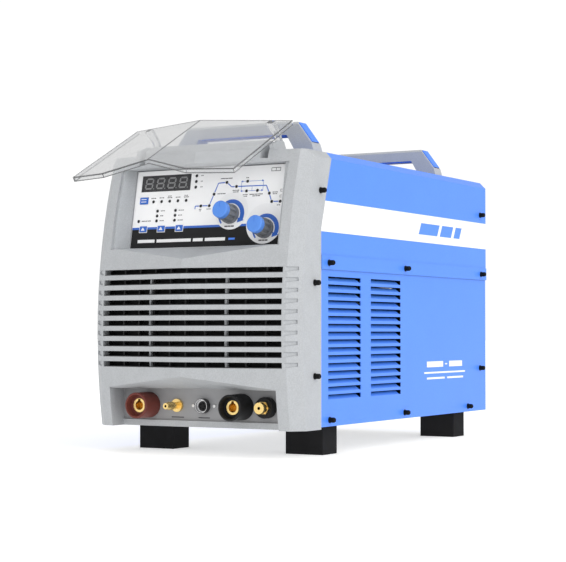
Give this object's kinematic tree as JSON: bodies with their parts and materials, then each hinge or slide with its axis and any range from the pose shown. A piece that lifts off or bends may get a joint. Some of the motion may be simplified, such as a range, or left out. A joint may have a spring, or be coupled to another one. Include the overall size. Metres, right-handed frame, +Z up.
{
  "type": "tig welding machine",
  "caption": "Inverter TIG welder in a sheet-steel case with a slotted bezel, sloped control panel under a clear flip-up cover, output sockets and carry handles.",
  "frame": {"origin": "centre of the bounding box's footprint, on the floor, with the clear cover open", "axes": "+X the machine's right-hand side seen from the front, +Y front to back, +Z up"},
  "size_m": [0.36, 0.8123, 0.4775],
  "materials": {
    "bezel_plastic": "fine sand texture",
    "grille_plastic": "fine texture",
    "plate_grey": "satin",
    "steel_plain": "zinc plated",
    "label_film": "satin film",
    "display_dark": "smoked",
    "circuit_board": "solder mask",
    "led_lens": "unlit lens",
    "pot_metal": "satin",
    "knob_grey": "satin",
    "blue_plastic": "satin",
    "clear_plastic": "clear",
    "pin_steel": "ground",
    "red_insulator": "satin",
    "black_insulator": "satin",
    "brass": "turned",
    "nickel": "nickel plated",
    "blue_paint": "smooth powder coat",
    "handle_plastic": "fine texture",
    "grip_blue": "soft satin",
    "foot_rubber": "matte",
    "black_steel": "black oxide",
    "fan_plastic": "satin",
    "switch_plastic": "satin",
    "heatsink": "mill finish",
    "capacitor_sleeve": "shrink sleeve",
    "winding": "varnished"
  },
  "bodies": {
    "machine": {"front_bezel": "bezel_plastic", "vent_grille": "grille_plastic", "connector_plate": "plate_grey", "control_plate": "steel_plain", "panel_label": "label_film", "display_window": "display_dark", "control_board": "circuit_board", "status_leds": "led_lens", "potentiometers": "pot_metal", "cover_hinge_pins": "pin_steel", "positive_socket_shell": "red_insulator", "positive_socket_insert": "brass", "negative_socket_shell": "black_insulator", "negative_socket_insert": "brass", "pilot_arc_fitting": "brass", "control_socket_shell": "nickel", "control_socket_core": "black_insulator", "control_socket_screws": "nickel", "gas_outlet_base": "black_insulator", "gas_outlet_fitting": "brass", "base_tray": "steel_plain", "top_cover": "blue_paint", "side_panel_left": "blue_paint", "side_panel_right": "blue_paint", "rear_panel": "blue_paint", "front_handle": "handle_plastic", "front_handle_grip": "grip_blue", "rear_handle": "handle_plastic", "rear_handle_grip": "grip_blue", "foot_front_left": "foot_rubber", "foot_front_right": "foot_rubber", "foot_rear_left": "foot_rubber", "foot_rear_right": "foot_rubber", "bezel_screws": "black_steel", "casing_screws": "black_steel", "fan_frame": "fan_plastic", "fan_guard": "nickel", "power_switch_body": "switch_plastic", "cable_gland_body": "black_insulator", "cable_gland_nut": "black_insulator", "gas_inlet_fitting": "brass", "gas_solenoid_valve": "nickel", "earth_stud": "nickel", "heatsinks": "heatsink", "power_board": "circuit_board", "capacitors": "capacitor_sleeve", "main_transformer": "winding", "output_reactor": "winding", "hf_coil": "winding"},
    "cover": {"clear_cover": "clear_plastic"},
    "adjust_dial": {"adjust_knob": "knob_grey", "adjust_knob_cap": "blue_plastic"},
    "current_dial": {"current_knob": "knob_grey", "current_knob_cap": "blue_plastic"},
    "set_key": {"set_button": "blue_plastic"},
    "left_key": {"left_button": "blue_plastic"},
    "middle_key": {"middle_button": "blue_plastic"},
    "right_key": {"right_button": "blue_plastic"},
    "fan": {"fan_rotor": "fan_plastic"},
    "switch_toggle": {"power_switch_lever": "black_insulator"}
  },
  "joints": [
    {"name": "cover_hinge", "type": "hinge", "parent": "machine", "child": "cover", "pos_m": [0, -0.204, 0.414], "axis": [1, 0, 0], "range_deg": [0, 50]},
    {"name": "adjust_dial_turn", "type": "hinge", "parent": "machine", "child": "adjust_dial", "pos_m": [0.0423, -0.24909, 0.33818], "axis": [0, -0.9825, 0.1865], "range_deg": [-140, 140]},
    {"name": "current_dial_turn", "type": "hinge", "parent": "machine", "child": "current_dial", "pos_m": [0.1006, -0.25332, 0.31588], "axis": [0, -0.9825, 0.1865], "range_deg": [-140, 140]},
    {"name": "set_key_press", "type": "slide", "parent": "machine", "child": "set_key", "axis": [0, 0.9825, -0.1865], "range_m": [0, 0.001], "stiffness_N_per_m": 500, "springref_m": -0.0006},
    {"name": "left_key_press", "type": "slide", "parent": "machine", "child": "left_key", "axis": [0, 0.9825, -0.1865], "range_m": [0, 0.001], "stiffness_N_per_m": 500, "springref_m": -0.0006},
    {"name": "middle_key_press", "type": "slide", "parent": "machine", "child": "middle_key", "axis": [0, 0.9825, -0.1865], "range_m": [0, 0.001], "stiffness_N_per_m": 500, "springref_m": -0.0006},
    {"name": "right_key_press", "type": "slide", "parent": "machine", "child": "right_key", "axis": [0, 0.9825, -0.1865], "range_m": [0, 0.001], "stiffness_N_per_m": 500, "springref_m": -0.0006},
    {"name": "fan_spin", "type": "hinge", "parent": "machine", "child": "fan", "pos_m": [0, 0.3405, 0.172], "axis": [0, 1, 0], "continuous": true},
    {"name": "switch_toggle_throw", "type": "hinge", "parent": "machine", "child": "switch_toggle", "pos_m": [0.092, 0.3685, 0.352], "axis": [1, 0, 0], "range_deg": [0, 50]}
  ]
}
